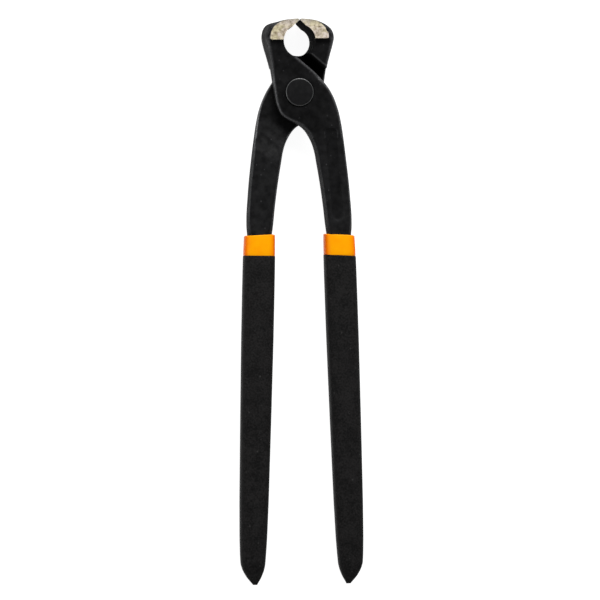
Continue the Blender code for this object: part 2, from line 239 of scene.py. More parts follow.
mottling_size = 0.003
forging_grain = 0.0005
chip_spacing = 0.0036
forging_specular = 0.16
forged_black, tree, surface, place = new_finish("satin_black_forging", "#0a0a0b", 0.55)
mottling = add_node(
    tree, "ShaderNodeTexNoise", {"Vector": place, "Scale": 1 / mottling_size, "Detail": 4, "Roughness": 0.6}
)
grain = add_node(tree, "ShaderNodeTexNoise", {"Vector": place, "Scale": 1 / forging_grain, "Detail": 3})
chips = add_node(tree, "ShaderNodeTexVoronoi", {"Vector": place, "Scale": 1 / chip_spacing})
# The attribute read on the next line is painted shade; it darkens the paint and takes away its sheen.
painted_shade = add_node(tree, "ShaderNodeAttribute", output="Fac", attribute_name="painted_shade_share")
wear_and_highlight = add_node(tree, "ShaderNodeAttribute", output="Fac", attribute_name="edge_wear_and_highlight")
patchy, chipped, uneven, sheen, unshaded = (
    add_node(tree, "ShaderNodeMapRange", zip(span_inputs, span)) for span in (
        (mottling, 0.35, 0.7), (chips, 0.05, 0.11, 0.5, 0), (grain, 0.3, 0.7, 0.35),
        (mottling, 0.3, 0.7, 0.82, 0.62), (painted_shade, 0, 1, 1, 0.1),
    )
)
# The lighter edges are rubbed paint and partly a painted highlight.
rubbed_and_highlit = add_node(tree, "ShaderNodeMath", {0: wear_and_highlight, 1: uneven}, operation="MULTIPLY")
paint = linear("#020203")
for share, colour in ((patchy, "#151516"), (chipped, "#454547"), (painted_shade, "#020202"), (rubbed_and_highlit, "#4e4e50")):
    paint = add_node(tree, "ShaderNodeMix", {0: share, 6: paint, 7: linear(colour)}, data_type="RGBA")
even_gloss = add_node(tree, "ShaderNodeMath", {0: unshaded, 1: forging_specular}, operation="MULTIPLY")
gloss = add_node(tree, "ShaderNodeMath", {0: rubbed_and_highlit, 1: 0.5, 2: even_gloss}, operation="MULTIPLY_ADD")
smoother = add_node(tree, "ShaderNodeMath", {0: rubbed_and_highlit, 1: -0.4, 2: sheen}, operation="MULTIPLY_ADD")
scale_bump = add_node(tree, "ShaderNodeBump", {"Height": mottling, "Distance": 0.00012, "Strength": 0.5})
grain_bump = add_node(
    tree, "ShaderNodeBump", {"Height": grain, "Distance": 0.00003, "Strength": 0.5, "Normal": scale_bump}
)
fill(surface, {"Base Color": paint, "Specular IOR Level": gloss, "Roughness": smoother, "Normal": grain_bump})
print("made", forged_black.name)

# %% [markdown]
# The wall of the throat was cut after forging. It is painted an even, deep black with hardly any
# sheen, as painted shade for the inside of the throat. Only a fine tool grain of 0.4 mm breaks it.

# %% Finish of the throat
cut_grain_size = 0.0004
# Painted shade: the throat's wall is almost black and reflects almost nothing.
throat_shade_black, tree, surface, place = new_finish("shaded_black_cut", "#060606", 0.95, specular=0.04)
cut_grain = add_node(tree, "ShaderNodeTexNoise", {"Vector": place, "Scale": 1 / cut_grain_size, "Detail": 2})
cut_tone = add_node(
    tree, "ShaderNodeMix", {0: cut_grain, 6: linear("#020202"), 7: linear("#0a0a0a")}, data_type="RGBA"
)
fill(surface, {"Base Color": cut_tone})
print("made", throat_shade_black.name)

# %% [markdown]
# ## Bare ground steel
# The black skin is ground away beside the cutting edges. Ground steel is a metal, so its colour
# is the colour of its reflection: a warm silver whose tone drifts a little over 4.5 mm. Duller,
# browner blotches are left where the skin of the forging was not cut quite as deep, and the
# colour turns greyer towards the upper edge. The wheel leaves fine lines, which are stretched
# noise. Real lines are about 0.05 mm apart, too fine to show here, so they are drawn four times
# coarser.

# %% Finish of the ground facets
grinding_pitch = 0.0002
blotch_size = 0.0016
tone_size = 0.0045
greyed_from, greyed_to = 0.0295, 0.0322
ground_steel, tree, surface, place = new_finish("bare_ground_steel", "#958e7e", 0.42, metallic=1.0)
stretched = add_node(tree, "ShaderNodeMapping", {"Vector": place, "Scale": (0.06, 1, 0.3)})
lines = add_node(tree, "ShaderNodeTexNoise", {"Vector": stretched, "Scale": 1 / grinding_pitch, "Detail": 2})
blotches = add_node(
    tree, "ShaderNodeTexNoise", {"Vector": place, "Scale": 1 / blotch_size, "Detail": 5, "Roughness": 0.65}
)
tone = add_node(tree, "ShaderNodeTexNoise", {"Vector": place, "Scale": 1 / tone_size, "Detail": 2})
height = add_node(tree, "ShaderNodeSeparateXYZ", {"Vector": place}, "Y")
tinted, dull, greyed, lined = (
    add_node(tree, "ShaderNodeMapRange", zip(span_inputs, span)) for span in (
        (tone, 0.42, 0.58), (blotches, 0.42, 0.66), (height, greyed_from, greyed_to, 0, 0.55),
        (lines, 0.3, 0.7, 0.34, 0.52),
    )
)
metal = linear("#b0a69c")
for share, colour in ((tinted, "#aca489"), (dull, "#6b604c"), (greyed, "#6f6e69")):
    metal = add_node(tree, "ShaderNodeMix", {0: share, 6: metal, 7: linear(colour)}, data_type="RGBA")
line_bump = add_node(tree, "ShaderNodeBump", {"Height": lines, "Distance": 0.00002, "Strength": 0.5})
fill(surface, {"Base Color": metal, "Roughness": lined, "Normal": line_bump})
print("made", ground_steel.name)

# %% [markdown]
# ## From outline to thick slab
# A two-dimensional curve with Fill and Extrude gives a closed slab. `new_from_object` turns the
# curve into a plain mesh, and merging the doubles welds the caps to the walls.

# %% Helpers for meshes
def link(name, mesh):
    obj = bpy.data.objects.new(name, mesh)
    bpy.context.scene.collection.objects.link(obj)
    return obj


def evaluated(obj):
    """A plain copy of the mesh with its modifiers applied. The object and its old mesh go away."""
    bpy.context.view_layer.update()
    graph = bpy.context.evaluated_depsgraph_get()
    mesh = bpy.data.meshes.new_from_object(obj.evaluated_get(graph))
    bpy.data.objects.remove(obj)
    return mesh


def slab(points, low, high, steps):
    """A closed outline of (x, y, smooth) points, from low to high along Z, as editable mesh data."""
    curve = bpy.data.curves.new("outline", "CURVE")
    curve.dimensions = "2D"
    curve.fill_mode = "BOTH"
    curve.resolution_u = steps
    curve.extrude = (high - low) / 2
    spline = curve.splines.new("BEZIER")
    spline.bezier_points.add(len(points) - 1)
    spline.use_cyclic_u = True
    for bezier, (x, y, smooth) in zip(spline.bezier_points, points):
        bezier.co = (x, y, 0)
        bezier.handle_left_type = "AUTO" if smooth else "VECTOR"
        bezier.handle_right_type = bezier.handle_left_type
    shape = bmesh.new()
    shape.from_mesh(evaluated(link("outline", curve)))
    bmesh.ops.translate(shape, verts=shape.verts, vec=(0, 0, (low + high) / 2))
    bmesh.ops.remove_doubles(shape, verts=shape.verts, dist=0.000001)
    bmesh.ops.recalc_face_normals(shape, faces=shape.faces)
    return shape


def as_object(name, shape, material):
    mesh = bpy.data.meshes.new(name)
    shape.to_mesh(mesh)
    shape.free()
    mesh.materials.append(material)
    return link(name, mesh)


def arc(centre, radius, start, end, steps):
    angles = [start + (end - start) * step / steps for step in range(steps + 1)]
    return [(centre.x + radius * cos(a), centre.y + radius * sin(a), False) for a in angles]


print("points in half the throat:", len(arc(throat_centre, throat_radius, 0, pi, 64)))

# %% [markdown]
# ## Front view of a lever
# Both levers come from nearly the same die: the rear one is the front one turned over. So one
# function gives the outline with its jaw on the left and its arm on the right. Only the edge of
# the plate over the joint differs, and its shares are passed in.

# %% Outline of a lever
def tang_share(along):
    """Size of the tang's section, of the arm's."""
    return tang_top_share + (tang_end_share - tang_top_share) * min(along / tang_length, 1)


def tang_corner(along, side):
    half_width = arm_width * tang_share(along) / 2
    across = Vector((cos(handle_splay), sin(handle_splay))) * half_width * side
    down = Vector((sin(handle_splay), -cos(handle_splay))) * along
    return (*(handle_top.xy + down + across), False)


def lever_outline(plate_shares, exit_share):
    inner = -cutting_edge_gap / 2
    widest = jaw_reach * jaw_top_shares[-1][1]
    arm_inner = arm_half_spread - arm_width
    exit_angle = 2 * pi * exit_share
    exit_reach = throat_radius * exit_reach_share
    exit_point = throat_centre + exit_reach * Vector((cos(exit_angle), sin(exit_angle)))
    points = [(inner, throat_height, False), (inner, jaw_reach, False)]
    points += [(-jaw_half_width * x, jaw_reach * y, True) for x, y in jaw_top_shares]
    for inward, down in jaw_side_shares:
        x = jaw_half_width + (waist_half_width - jaw_half_width) * inward
        y = widest + (waist_height - widest) * down
        points.append((-x, y, True))
    points.append((-waist_half_width, waist_height, True))
    points += [(-heel_half_width * x, -heel_drop * y, True) for x, y in heel_shares]
    points.append((0, -crotch_drop, True))
    points += [(arm_inner * x, -arm_drop * y, True) for x, y in arm_inner_shares]
    points += [tang_corner(0, -1), tang_corner(tang_length, -1)]
    points += [tang_corner(tang_length, 1), tang_corner(0, 1)]
    points += [(arm_half_spread * x, -arm_drop * y, True) for x, y in reversed(arm_outer_shares)]
    points += [(waist_half_width * x, throat_height * y, True) for x, y in reversed(plate_shares)]
    points.append((exit_point.x, exit_point.y, False))
    return points


print("points in the front lever's outline:", len(lever_outline(front_plate_shares, front_exit_share)))

# %% [markdown]
# ## Draft and rounded rims
# A forging must leave its die, so its walls lean in from the parting line at mid depth, and no
# rim is sharp. The walls are cut into loops and each loop is moved inwards along the walls'
# normals: a little for the draft, and along a quarter circle for the rounded rim.
#
# No real forging is quite even. The top outer corner of each jaw is rounder on the side that
# shows, and swells or shrinks a little from the outline. The rim is rounder in one spot at the
# waist, where the tool was knocked.

# %% Walls with draft and rounding
corner_place = Vector((0.86 * jaw_half_width, 0.91 * jaw_reach))
corner_reach = 0.4 * jaw_half_width
corner_rounding = 0.0014
far_corner_loss = 0.7
knock_place = Vector((0.0093, 0.0066))
knock_reach = 0.0035
knock_rounding = 0.0012
jaw_rim_end = throat_height - 0.0022
top_rim_start = throat_height + 0.0014
hairline = 0.0001


def face_draft(x, y):
    plate = plate_draft * min(max(x / heel_half_width, 0), 1)
    amount = numpy.interp(
        y, (-2 * crotch_drop, -heel_drop, waist_height, lap_radius), (arm_draft, plate, plate, jaw_draft)
    )
    return amount * min(abs(x) / jaw_half_width, 1) ** 2 if y > throat_height else amount


def near_corner(x, y):
    """From 0 to 1 at the top outer corner of a jaw."""
    return max(0, 1 - (Vector((abs(x), y)) - corner_place).length / corner_reach)


def rim_rounding(x, y, shown=True):
    """Rounding of a rim. The top corner is rounder on the side that shows."""
    stations = (
        (-arm_drop, tang_rounding), (band_length - arm_drop, arm_rounding),
        (-2 * crotch_drop, arm_rounding), (-heel_drop, plate_rounding), (waist_height, plate_rounding),
        (lap_radius, jaw_rounding), (jaw_rim_end, jaw_rounding), (top_rim_start, jaw_top_rounding),
    )
    knocked = max(0, 1 - (Vector((x, y)) - knock_place).length / knock_reach)
    amount = numpy.interp(y, *zip(*stations)) + knock_rounding * knocked
    if y > throat_height:
        amount *= tip_rounding_share + (1 - tip_rounding_share) * min(abs(x) / jaw_half_width, 1)
        corner = near_corner(x, y)
        amount = amount + corner_rounding * corner if shown else amount * (1 - far_corner_loss * corner)
    return amount


def split_across(shape, place, normal, clear=False):
    """Splits a shape along a plane, and may clear away what lies beyond it."""
    bmesh.ops.bisect_plane(
        shape, geom=[*shape.verts, *shape.edges, *shape.faces], dist=0.000001,
        plane_co=place, plane_no=normal, clear_outer=clear,
    )


def is_shaped_wall(face):
    from_throat = (face.calc_center_median().xy - throat_centre).length
    return abs(face.normal.z) < 0.5 and from_throat > throat_radius * exit_reach_share


def draw_in_walls(shape, steps, front, corner_swell):
    """Front is 1 or -1, the side that shows. A corner swells on the far side only, or shrinks on both."""
    loops = steps + 1
    for loop in range(1 - loops, loops):
        split_across(shape, (0, 0, middle + half_jaw * loop / loops), (0, 0, 1))
    moves = []
    for vert in shape.verts:
        x, y, z = vert.co
        loop = round(abs(z - middle) / half_jaw * loops)
        shown = front * (z - middle) > hairline
        inset = 0 if shown and corner_swell > 0 else -corner_swell * near_corner(x, y)
        height = 0
        if loop:
            rounding = rim_rounding(x, y, shown)
            turn = pi / 2 * (loop - 1) / steps
            height = half_jaw - rounding * (1 - sin(turn))
            inset += face_draft(x, y) * height / half_jaw + rounding * (1 - cos(turn))
        walls = [face.normal for face in vert.link_faces if is_shaped_wall(face)]
        place = vert.co.copy()
        if walls:
            outwards = sum(walls, Vector()) / len(walls)
            place -= outwards * inset / outwards.length_squared
        place.z = middle + copysign(height, z - middle)
        moves.append((vert, place))
    for vert, place in moves:
        vert.co = place


print("rounding at the jaw's side:", 1000 * rim_rounding(-jaw_half_width, 0.02), "mm")

# %% [markdown]
# ## Side view of a lever
# Seen from the side the jaws are 20 mm deep, the joint 12 mm and the arms 9 mm. The slab is cut
# at many heights and every point is moved towards the middle until it fits that side view.
# Averaging the profile over a few millimetres turns its corners into soft bends.

# %% Depth along the lever
def half_depth(y, softness=0.0015):
    joint = joint_depth / 2
    arm = arm_depth / 2
    stations = [(-tang_drop, arm * tang_end_share), (-arm_drop, arm * tang_top_share)]
    stations += [(-arm_drop * at, arm + (joint - arm) * deep) for at, deep in reversed(neck_profile_shares)]
    stations += [(jaw_reach * at, joint + (half_jaw - joint) * deep) for at, deep in head_profile_shares]
    heights, halves = zip(*stations)
    return numpy.mean([numpy.interp(y + softness * off, heights, halves) for off in (-1, -0.5, 0, 0.5, 1)])


side_cuts = numpy.linspace(-0.6 * arm_drop, 0.65 * jaw_reach, 40)


def taper_depth(shape, inset):
    for height in side_cuts:
        split_across(shape, (0, height, 0), (0, 1, 0))
    split_across(shape, (0, -arm_drop, 0), (0, 1, 0))
    for vert in shape.verts:
        x, y, z = vert.co
        wall = half_jaw - rim_rounding(x, y)
        drawn_in = (half_jaw - half_depth(y) + inset) * min(abs(z - middle) / wall, 1)
        vert.co.z -= copysign(drawn_in, z - middle)


print("depths in mm:", [round(2000 * half_depth(y), 1) for y in (0.025, 0.014, 0.0, -0.02, -0.05)])

# %% [markdown]
# ## Cutters
# Each cut is a closed shape taken away with a Boolean. The lap takes half of the joint's depth,
# and ends at a flat shoulder under the jaw. The bore and the seat take the rivet, and the panel
# is sunk into the arm. The throat and the facets come last, because on the real tool they are
# machined after forging.

# %% Lap, bore, seat and panel cutters
shoulder_place = Vector((-0.0049, 0.0167, middle - 0.008))
shoulder_normal = Vector((-0.62, 0.784, 0.03))
overrun = 0.005


def cone(radius_low, radius_high, low, high):
    shape = bmesh.new()
    bmesh.ops.create_cone(
        shape, cap_ends=True, segments=128, radius1=radius_low, radius2=radius_high,
        depth=high - low, matrix=Matrix.Translation((0, 0, (low + high) / 2)),
    )
    return shape


def lap_shape():
    """A slanting cone for the other lever's plate, cut off flat at the jaw's shoulder."""
    low, high = middle - half_jaw - overrun, middle + lap_gap / 2
    ramp = lap_ramp * (high - low) / half_jaw
    shape = cone(lap_radius + ramp, lap_radius, low, high)
    for vert in shape.verts:
        if vert.co.z < middle:
            vert.co.y -= ramp
    split_across(shape, shoulder_place, shoulder_normal, clear=True)
    bmesh.ops.holes_fill(shape, edges=shape.edges)
    bmesh.ops.recalc_face_normals(shape, faces=shape.faces)
    return shape


def panel_shapes():
    """The panel's outline, and the floor that it leaves standing."""
    upper, lower = (Vector((arm_half_spread * x, -arm_drop * y)) for x, y in panel_end_shares)
    run = lower - upper
    square = atan2(run.x, -run.y)
    outline = arc(upper, panel_width / 2, square, square + pi, 24)
    outline += arc(lower, panel_width / 2, square + pi, square + 2 * pi, 24)
    floor = bmesh.new()
    size = Matrix.Diagonal((4 * arm_half_spread, 2 * arm_drop, jaw_depth, 1))
    bmesh.ops.create_cube(floor, size=1, matrix=Matrix.Translation((0, -arm_drop, middle)) @ size)
    taper_depth(floor, panel_depth)
    return slab(outline, middle, middle + half_jaw, 2), floor


def cut(obj, cutter):
    """Takes a cutter away from an object. The cut faces take the cutter's material."""
    modifier = obj.modifiers.new("cut", "BOOLEAN")
    modifier.solver = "EXACT"
    modifier.operation = "DIFFERENCE"
    modifier.material_mode = "TRANSFER"
    modifier.object = cutter
    name = obj.name
    mesh = evaluated(obj)
    bpy.data.objects.remove(cutter)
    return link(name, mesh)


print("the lap is cut to z =", round(1000 * (middle + lap_gap / 2), 2), "mm")

# %% Throat and facet cutters
def throat_shape(centre, radius, taper, front):
    """A round hole with a notch up to the cutting edges. It narrows from the face that shows."""
    outline = arc(centre, radius, pi / 2 - notch_angle, notch_angle - 3 * pi / 2, 128)
    outline.append((0, jaw_reach - cutting_edge_land, False))
    shape = slab(outline, middle - 2 * half_jaw, middle + 2 * half_jaw, 1)
    for vert in shape.verts:
        below_face = half_jaw - front * (vert.co.z - middle)
        share = 1 - taper * below_face / jaw_depth
        vert.co.xy = centre + (vert.co.xy - centre) * share
    return shape


def facet_shapes(height):
    """Two tilted blocks that leave the ground facets in front and behind."""
    slope = atan2(facet_depth, height)
    shape = bmesh.new()
    for side in (1, -1):
        start = Vector((0, jaw_reach - height, middle + side * half_jaw))
        place = Matrix.Translation(start) @ Matrix.Rotation(-side * slope, 4, "X")
        lift = Matrix.Translation((0, 0, side * overrun / 2))
        size = Matrix.Diagonal((4 * jaw_half_width, 4 * height, overrun, 1))
        bmesh.ops.create_cube(shape, size=1, matrix=place @ lift @ size)
    return shape


print("facets start at y =", round(1000 * (jaw_reach - facet_height), 1), "mm")

# %% [markdown]
# ## Soft forged skin
# A Boolean leaves knife edges, but a forging has none. Remeshing with small voxels turns the
# shape into an even net of faces, and a few rounds of smoothing then give every edge and corner
# a small radius, as dies and shot blasting do. A rough sketch may use larger voxels.

# %% Remesh and smooth
voxel = 0.00036


def forged_skin(obj, rounds):
    """An even net of faces over the shape, with rounds of smoothing."""
    remesh = obj.modifiers.new("remesh", "REMESH")
    remesh.mode = "VOXEL"
    remesh.voxel_size = voxel
    if rounds:
        relax = obj.modifiers.new("relax", "SMOOTH")
        relax.factor = 0.5
        relax.iterations = rounds
    name = obj.name
    mesh = evaluated(obj)
    return link(name, mesh)


print("voxel size:", round(1000 * voxel, 2), "mm")

# %% [markdown]
# ## Rubbed edges and painted highlights
# Paint wears first on outside corners, and here the lighter edges are partly painted highlight
# too. How strongly the surface bends away at a vertex can be measured from its neighbours: on an
# outside corner they all lie below its normal. Half of the edges at a rim run along it and do not
# bend, so on a rim of radius r the mean bend is about 1 / (4 r). The result is stored as an
# attribute, which the paint reads.

# %% Edge wear and painted highlight as an attribute
wear_start = 60
wear_full = 320


def read_points(mesh):
    """The place and the normal of every vertex."""
    points = numpy.empty(3 * len(mesh.vertices))
    normals = numpy.empty(3 * len(mesh.vertices), numpy.float32)
    mesh.vertices.foreach_get("co", points)
    mesh.vertex_normals.foreach_get("vector", normals)
    return points.reshape(-1, 3), normals.reshape(-1, 3)


def store(mesh, name, values):
    """Stores one number for each vertex."""
    attribute = mesh.attributes.new(name, "FLOAT", "POINT")
    attribute.data.foreach_set("value", numpy.array(values, numpy.float32))


def ramp(values, zero, one):
    """From 0 at the first bound to 1 at the second one."""
    return numpy.clip((values - zero) / (one - zero), 0, 1)


def store_wear_and_highlight(mesh, start, full, kept=None):
    """Wear and painted highlight from 0 to 1, as the mean bend goes from start to full, in 1 / metres."""
    points, normals = read_points(mesh)
    ends = numpy.empty(len(mesh.edges) * 2, numpy.int32)
    mesh.edges.foreach_get("vertices", ends)
    first, last = ends.reshape(-1, 2).T
    step = points[last] - points[first]
    squared = numpy.maximum((step**2).sum(1), 1e-10)
    count = len(points)
    bends = numpy.zeros(count)
    numpy.add.at(bends, first, -(normals[first] * step).sum(1) / squared)
    numpy.add.at(bends, last, (normals[last] * step).sum(1) / squared)
    neighbours = numpy.maximum(numpy.bincount(ends, minlength=count), 1)
    bends /= neighbours
    for blur in range(3):
        total = numpy.bincount(first, bends[last], count) + numpy.bincount(last, bends[first], count)
        bends = (bends + total / neighbours) / 2
    wear_and_highlight = ramp(bends, start, full)
    if kept:
        wear_and_highlight = kept(wear_and_highlight, normals[:, 2], *points.T)
    store(mesh, "edge_wear_and_highlight", wear_and_highlight)
    return float(wear_and_highlight.mean())


print("wear starts at a rim radius of", round(1000 / (4 * wear_start), 1), "mm")

# %% [markdown]
# Wear alone would also lighten edges that hands and wire never reach, so it is masked: the late
# cuts and the arms' flats are kept free of it, and one spot on the rim at the waist gets a painted
# highlight. A second attribute holds painted shade: in the lap and on the shoulder beside it, in a
# strip under the facets, around the joint, and a little in the panel and on the jaws' walls. Each
# limit below is a pair, the value where an effect begins and the value where it is full. Facing is
# 1 on a surface that looks straight up or down, and 0 on an upright wall.

# %% Masks for wear, the painted highlight and the painted shade
machined_limit = (0.0006, 0.0014)
slanted, steep, nearly_flat, quite_flat = 0.3, 0.35, 0.8, 0.96
flat_limit = (nearly_flat, 0.9)
arms_start = -0.02
panel_rim_reach = 0.0009
panel_rim_loss = 0.5
highlight_place = (0.0094, 0.0064)
highlight_limit = (0.0022, 0.0022 / 3)

facet_foot = jaw_reach - facet_height
lap_limit = (0.0022, 0.0012)
lap_height_limit = (0.001, 0.004)
strip_limit = (facet_foot - 0.00416, facet_foot - 0.00096)
strip_depth = 0.002
joint_shade_centre = (0, -0.006)
joint_shade_limit = (0.022, 0.008)
panel_limit = (panel_width / 2, panel_width / 2 - 0.0006)
shoulder_limit = (0.0159, 0.0155)
shoulder_foot = 0.0128
shoulder_low = 0.004
shoulder_slope = 0.75
jaw_wall_limit = (0.012, 0.016)
# How dark the painted shade is in each place.
strip_shade_strength = 0.9
shoulder_shade_strength = 0.9
joint_shade_strength = 0.5
wall_shade_strength = 0.45
panel_shade_strength = 0.3


def from_panel_line(x, y):
    """Distance from the line in the middle of the sunk panel."""
    upper, lower = (numpy.array((arm_half_spread * a, -arm_drop * b)) for a, b in panel_end_shares)
    run = lower - upper
    along = numpy.clip(((x - upper[0]) * run[0] + (y - upper[1]) * run[1]) / (run @ run), 0, 1)
    return numpy.hypot(x - upper[0] - along * run[0], y - upper[1] - along * run[1])


def with_masks_and_highlight(wear_and_highlight, facing, x, y, z):
    """The wear that is left after the masks, with a painted highlight at the waist. Facing is the normal's Z.
    """
    from_throat = numpy.hypot(x, y - throat_height) - throat_radius
    from_seat = numpy.hypot(x, y) - rivet_head_radius
    flat = ramp(numpy.abs(facing), *flat_limit) * (y < arms_start)
    panel_rim = panel_rim_loss * (numpy.abs(from_panel_line(x, y) - panel_width / 2) < panel_rim_reach)
    wear_and_highlight = wear_and_highlight * ramp(numpy.minimum(from_throat, from_seat), *machined_limit) * (1 - flat) * (1 - panel_rim)
    # A painted highlight on the rim at the waist.
    bright = ramp(numpy.hypot(x - highlight_place[0], y - highlight_place[1]), *highlight_limit)
    return numpy.maximum(wear_and_highlight, bright * (facing > slanted) * (facing < quite_flat))


def store_painted_shade(mesh):
    """Stores the painted shade of each vertex, and returns the mean."""
    points, normals = read_points(mesh)
    x, y, z = points.T
    facing = numpy.abs(normals[:, 2])
    from_middle = numpy.abs(z - middle)
    # Each share below is painted shade.
    lap = ramp(from_middle, *lap_limit) * (facing > slanted) * ramp(y, *lap_height_limit)
    strip = strip_shade_strength * ramp(y, *strip_limit) * (from_middle > half_jaw - strip_depth)
    strip *= facing > nearly_flat
    joint_shade = joint_shade_strength * ramp(numpy.hypot(x - joint_shade_centre[0], y - joint_shade_centre[1]), *joint_shade_limit)
    panel = panel_shade_strength * ramp(from_panel_line(x, y), *panel_limit) * (z > middle)
    along_normal = abs(shoulder_normal.x) * numpy.abs(x) + shoulder_normal.y * y
    shoulder = shoulder_shade_strength * ramp(along_normal, *shoulder_limit) * (along_normal > shoulder_foot)
    shoulder *= (y > shoulder_low) * (facing < shoulder_slope) * (x * (z - middle) > 0)
    jaw_walls = wall_shade_strength * (facing < steep) * ramp(y, *jaw_wall_limit)
    painted_shade = numpy.max((lap, strip, joint_shade, panel, shoulder, jaw_walls), axis=0)
    store(mesh, "painted_shade_share", painted_shade)
    return float(painted_shade.mean())


def shade(mesh, angle=35):
    """Smooth shading with sharp machined edges. Ground facets stay flat."""
    mesh.shade_smooth()
    mesh.set_sharp_from_angle(angle=radians(angle))
    for face in mesh.polygons:
        face.use_smooth = mesh.materials[face.material_index] != ground_steel


# The painted shade fades out this far from the joint.
print("oil fades out", 1000 * joint_shade_limit[0], "mm from the joint")

# %% [markdown]
# ## The two forgings
# Now the steps run in the order of the real work: outline, draft and rounding, side view, lap,
# bore, seat and panel in the forging, then the soft skin, and at the end the machined throat and
# the ground facets. The rear lever is turned half round the long axis, which puts its jaw on the
# right, its arm on the left and its lap at the front.
#
# The two forgings are not quite alike, as the photograph shows. The front throat is a little
# larger and lower, and the rear one narrows towards the back. The left jaw's corner swells on
# its far side and the right one's is leaner, and the rear facets are a little shorter.

# %% Make a lever
def make_lever(name, plate_shares, exit_share, seat_radius, front, corner_swell, throat, facet_run):
    """One forging, with its cuts. Throat holds the hole's centre, its radius and its taper."""
    shape = slab(lever_outline(plate_shares, exit_share), middle - half_jaw, middle + half_jaw, 8)
    draw_in_walls(shape, 6, front, corner_swell)
    taper_depth(shape, 0)
    bmesh.ops.triangulate(shape, faces=shape.faces)
    lever = forged_skin(as_object(name, shape, forged_black), 1)
    face = middle + joint_depth / 2
    outline, floor = panel_shapes()
    panel = cut(as_object("panel", outline, forged_black), as_object("floor", floor, forged_black))
    bore = cone(rivet_radius + rivet_gap, rivet_radius + rivet_gap, middle - jaw_depth, middle + jaw_depth)
    seat = cone(seat_radius + rivet_gap, seat_radius + rivet_gap, face - rivet_gap, face + overrun)
    lever = cut(lever, as_object("lap", lap_shape(), forged_black))
    lever = cut(lever, panel)
    for cutter in (bore, seat):
        lever = cut(lever, as_object("round", cutter, forged_black))
    lever = forged_skin(lever, 4)
    lever = cut(lever, as_object("throat", throat_shape(*throat, front), throat_shade_black))
    return cut(lever, as_object("facets", facet_shapes(facet_run), ground_steel))


def turn_over(mesh):
    """Half a turn round the tool's long axis at mid depth."""
    centre = Matrix.Translation((0, 0, middle))
    mesh.transform(centre @ Matrix.Rotation(pi, 4, "Y") @ centre.inverted())


left_corner_swell = 0.0006
right_corner_swell = -0.0004
throat_shift = Vector((-0.0002, -0.0005))
throat_growth = 0.00025
rear_throat_taper = 0.07
rear_facet_loss = 0.0006
front_forging = make_lever(
    "front_lever_forging", front_plate_shares, front_exit_share, rivet_head_radius, front=1,
    corner_swell=left_corner_swell, facet_run=facet_height,
    throat=(throat_centre + throat_shift, throat_radius + throat_growth, 0),
)
rear_forging = make_lever(
    "rear_lever_forging", rear_plate_shares, rear_exit_share, rivet_tail_radius, front=-1,
    corner_swell=right_corner_swell, facet_run=facet_height - rear_facet_loss,
    throat=(throat_centre, throat_radius, rear_throat_taper),
)
turn_over(rear_forging.data)
for lever in (front_forging, rear_forging):
    means = store_wear_and_highlight(lever.data, wear_start, wear_full, with_masks_and_highlight), store_painted_shade(lever.data)
    shade(lever.data)
    print(lever.name, len(lever.data.polygons), "faces, mean wear and soot", numpy.round(means, 3))

# %% [markdown]
# ## The rivet
# A rivet is a turned piece, so its half section is spun round its axis. The head stands 1 mm
# proud with a softly broken edge and a face that is crowned by a tenth of a millimetre. The
# tail behind was pressed flat and spread a little.

# %% Spin the rivet
def spin(name, profile, material, steps=128):
    shape = bmesh.new()
    verts = [shape.verts.new((x, 0, z)) for x, z in profile]
    edges = [shape.edges.new(pair) for pair in zip(verts, verts[1:])]
    bmesh.ops.spin(
        shape, geom=verts + edges, cent=(0, 0, 0), axis=(0, 0, 1), dvec=(0, 0, 0),
        angle=2 * pi, steps=steps, use_merge=True,
    )
    bmesh.ops.remove_doubles(shape, verts=shape.verts, dist=0.000002)
    bmesh.ops.recalc_face_normals(shape, faces=shape.faces)
    return as_object(name, shape, material)


def rounded_corner(centre_x, centre_z, radius, start, steps=6):
    """A quarter circle of a half section, clockwise from the start angle."""
    angles = [start - pi / 2 * step / steps for step in range(steps + 1)]
    return [(centre_x + radius * cos(a), centre_z + radius * sin(a)) for a in angles]


rivet_edge = 0.0004
crown_radii = (0.0015, 0.003, 0.0045)
tail_ring = 0.003
head_top = middle + joint_depth / 2 + rivet_head_rise
crown = 0.00012
profile = [(0, head_top)]
profile += [(x, head_top - crown * (x / rivet_head_radius) ** 2) for x in crown_radii]
profile += rounded_corner(rivet_head_radius - rivet_edge, head_top - crown - rivet_edge, rivet_edge, pi / 2)
profile += [(rivet_head_radius, middle + joint_depth / 2), (rivet_radius, middle + joint_depth / 2)]
profile += [(rivet_radius, rivet_tail_rise), (rivet_tail_radius, rivet_tail_rise)]
profile += rounded_corner(rivet_tail_radius - rivet_edge, rivet_edge, rivet_edge, 0)
profile += [(tail_ring, 0), (0, 0)]
print("half section of the rivet:", len(profile), "points")

# %% [markdown]
# The rivet is oiled black steel, a shade smoother than the forgings, with faint stains and rings
# from the lathe. Rings are a wave that depends on the distance from the axis. A wave's period is
# pi / 10 / scale, so a scale of 630 sets them 0.5 mm apart. The broken edge is lighter and glossier:
# rubbed steel, and partly a painted highlight.

